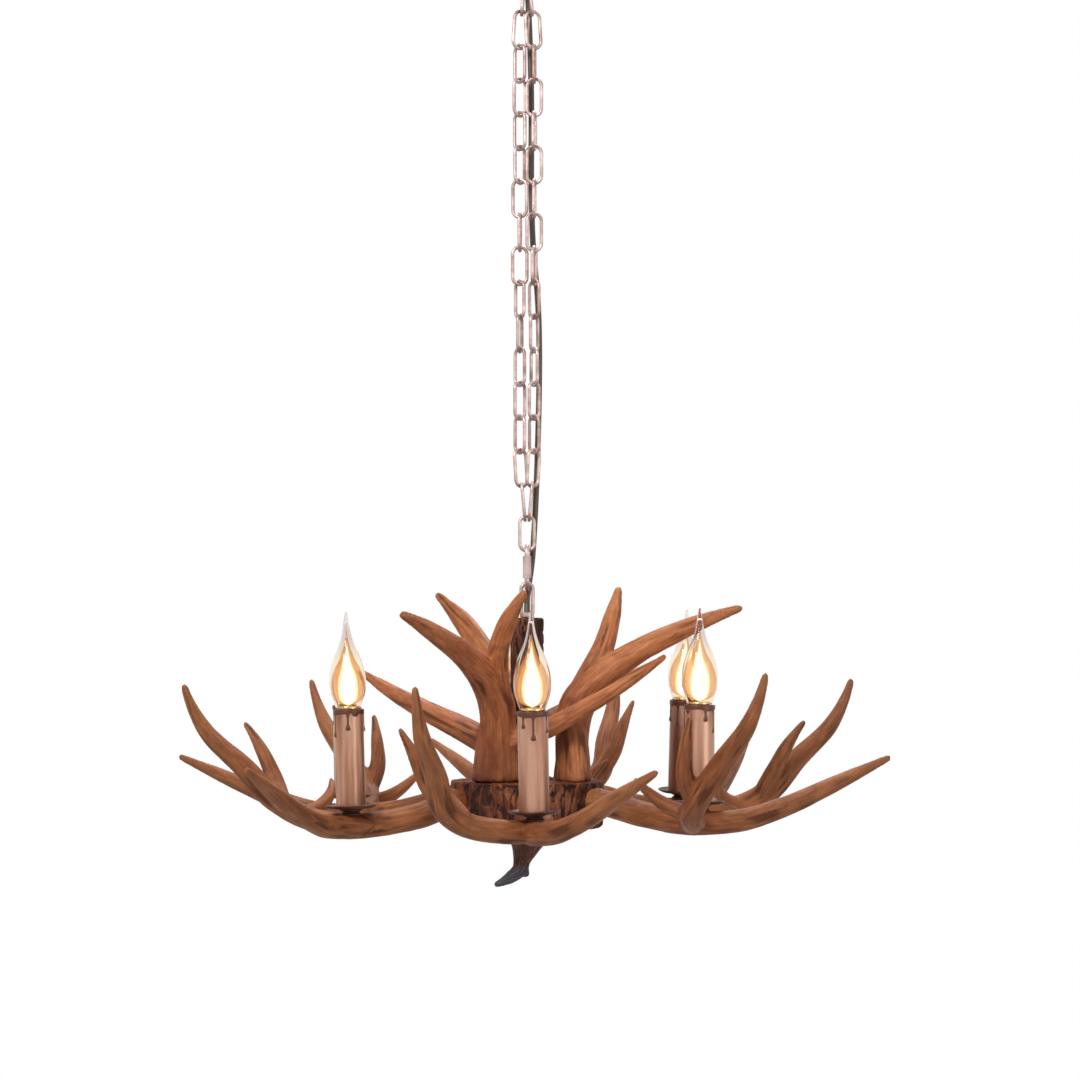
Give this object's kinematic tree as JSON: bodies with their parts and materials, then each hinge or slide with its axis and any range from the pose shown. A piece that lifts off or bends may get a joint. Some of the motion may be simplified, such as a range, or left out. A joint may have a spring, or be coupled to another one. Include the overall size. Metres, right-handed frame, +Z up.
{
  "type": "antler chandelier",
  "caption": "Hanging light of cast antlers in a bark hub: low arm antlers with candle lamps, upright antlers round a column, doubled chain, cable and ceiling canopy.",
  "frame": {"origin": "on the ceiling plane, at the middle of the mounting strap, on the axis of the hanging chain", "axes": "+Z up, +X to the viewer's right, the viewer of the picture on -Y"},
  "size_m": [0.7093, 0.6946, 0.988],
  "materials": {
    "antler": "cast resin stained like antler",
    "antler_dark": "cast resin, dark horn tip",
    "bark": "cast resin with bark furrows",
    "candle_wax": "stained resin sleeve with dark wax drips",
    "bulb_glass": "amber tinted glass",
    "bulb_metal": "screw base with glowing filament",
    "steel": "zinc plated",
    "chain_metal": "antique rose brown paint",
    "pan_metal": "dark bronze paint",
    "holder_plastic": "black thermoset",
    "cable_jacket": "olive brown jacket"
  },
  "bodies": {
    "ceiling": {"canopy": "chain_metal", "mounting_strap": "steel", "canopy_screws": "chain_metal", "canopy_loop": "chain_metal", "lock_nut": "steel"},
    "chain": {"chain_strand_left": "chain_metal", "chain_strand_right": "chain_metal", "gathering_link": "chain_metal", "cable": "cable_jacket"},
    "quick_link": {"quick_link": "chain_metal"},
    "quick_link_nut": {"quick_link_nut": "chain_metal"},
    "chandelier": {"hub_drum": "bark", "hub_plate": "steel", "hub_nut": "steel", "bottom_cover": "bark", "central_tube": "steel", "column_sleeve": "bark", "finial": "antler_dark", "arm_screws": "steel", "upright_screws": "steel", "fixture_loop": "chain_metal", "pan_bosses": "pan_metal", "drip_pans": "pan_metal", "candle_nipples": "steel", "lampholders": "holder_plastic", "arm_antler_1": "antler", "arm_antler_2": "antler", "arm_antler_3": "antler", "arm_antler_4": "antler", "arm_antler_5": "antler", "arm_antler_6": "antler", "upright_antler_1": "antler", "upright_antler_2": "antler", "upright_antler_3": "antler", "candle_sleeve_1": "candle_wax", "candle_sleeve_2": "candle_wax", "candle_sleeve_3": "candle_wax", "candle_sleeve_4": "candle_wax", "candle_sleeve_5": "candle_wax", "candle_sleeve_6": "candle_wax"},
    "bulb_1": {"bulb_glass_1": "bulb_glass", "bulb_base_1": "bulb_metal"},
    "bulb_2": {"bulb_glass_2": "bulb_glass", "bulb_base_2": "bulb_metal"},
    "bulb_3": {"bulb_glass_3": "bulb_glass", "bulb_base_3": "bulb_metal"},
    "bulb_4": {"bulb_glass_4": "bulb_glass", "bulb_base_4": "bulb_metal"},
    "bulb_5": {"bulb_glass_5": "bulb_glass", "bulb_base_5": "bulb_metal"},
    "bulb_6": {"bulb_glass_6": "bulb_glass", "bulb_base_6": "bulb_metal"}
  },
  "joints": [
    {"name": "chain_swing", "type": "hinge", "parent": "ceiling", "child": "chain", "pos_m": [0, 0, -0.08255], "axis": [1, 0, 0], "range_deg": [-12, 12], "deforming": ["cable"]},
    {"name": "side_swing", "type": "hinge", "parent": "chain", "child": "quick_link", "pos_m": [0, 0, -0.6467], "axis": [0, 1, 0], "range_deg": [-12, 12], "deforming": ["cable"]},
    {"name": "quick_nut_turn", "type": "hinge", "parent": "quick_link", "child": "quick_link_nut", "pos_m": [0, -0.008, -0.6653], "axis": [0, 0, 1], "continuous": true},
    {"name": "fixture_swing", "type": "hinge", "parent": "quick_link", "child": "chandelier", "pos_m": [0, 0, -0.6839], "axis": [1, 0, 0], "range_deg": [-10, 10], "deforming": ["cable"]},
    {"name": "bulb_1_lift", "type": "slide", "parent": "chandelier", "child": "bulb_1", "axis": [-0.0171, -0.0093, 0.9998], "range_m": [0, 0.03]},
    {"name": "bulb_2_lift", "type": "slide", "parent": "chandelier", "child": "bulb_2", "axis": [0.0046, 0.0341, 0.9994], "range_m": [0, 0.03]},
    {"name": "bulb_3_lift", "type": "slide", "parent": "chandelier", "child": "bulb_3", "axis": [0.0246, -0.0627, 0.9977], "range_m": [0, 0.03]},
    {"name": "bulb_4_lift", "type": "slide", "parent": "chandelier", "child": "bulb_4", "axis": [-0.0452, -0.0162, 0.9988], "range_m": [0, 0.03]},
    {"name": "bulb_5_lift", "type": "slide", "parent": "chandelier", "child": "bulb_5", "axis": [-0.0166, 0.0246, 0.9996], "range_m": [0, 0.03]},
    {"name": "bulb_6_lift", "type": "slide", "parent": "chandelier", "child": "bulb_6", "axis": [-0.0272, 0.0127, 0.9995], "range_m": [0, 0.03]}
  ]
}
